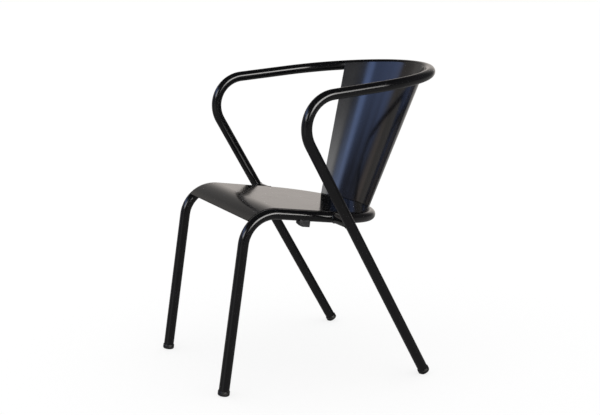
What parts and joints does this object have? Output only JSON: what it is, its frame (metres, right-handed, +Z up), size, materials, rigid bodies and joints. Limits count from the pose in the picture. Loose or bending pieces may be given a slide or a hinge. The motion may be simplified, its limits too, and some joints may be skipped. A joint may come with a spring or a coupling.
{
  "type": "rigid tubular metal stacking armchair",
  "caption": "Stacking armchair of bent steel tube: a rear hoop forms arms and rear legs, a lower hoop forms seat frame and front legs, with a rolled seat sheet and a tapering curved back.",
  "frame": {"origin": "on the floor under the middle of the chair's outline", "axes": "+Z up, -Y to the front of the chair, +X to the sitter's left"},
  "size_m": [0.561, 0.6297, 0.742],
  "materials": {
    "tube_coating": "semi-gloss black powder coating on steel tube",
    "seat_coating": "semi-gloss black powder coating on sheet steel",
    "back_coating": "semi-gloss black powder coating on sheet steel",
    "glide_plastic": "satin black moulded plastic",
    "bumper_rubber": "matt black rubber",
    "screw_steel": "dark zinc plated steel"
  },
  "bodies": {
    "root": {"arm_and_rear_leg_tube": "tube_coating", "seat_frame_and_front_leg_tube": "tube_coating", "seat_sheet": "seat_coating", "backrest_sheet": "back_coating", "link_tube_left": "tube_coating", "link_tube_right": "tube_coating", "link_weld_left_rail": "tube_coating", "link_weld_left_leg": "tube_coating", "link_weld_right_rail": "tube_coating", "link_weld_right_leg": "tube_coating", "seat_weld_left": "tube_coating", "seat_weld_right": "tube_coating", "seat_weld_rear": "tube_coating", "backrest_rim_weld": "tube_coating", "backrest_foot_weld": "tube_coating", "front_left_foot_glide": "glide_plastic", "front_right_foot_glide": "glide_plastic", "rear_left_foot_glide": "glide_plastic", "rear_right_foot_glide": "glide_plastic", "stacking_bumper_left": "bumper_rubber", "stacking_bumper_right": "bumper_rubber", "bumper_screws": "screw_steel"}
  },
  "joints": []
}
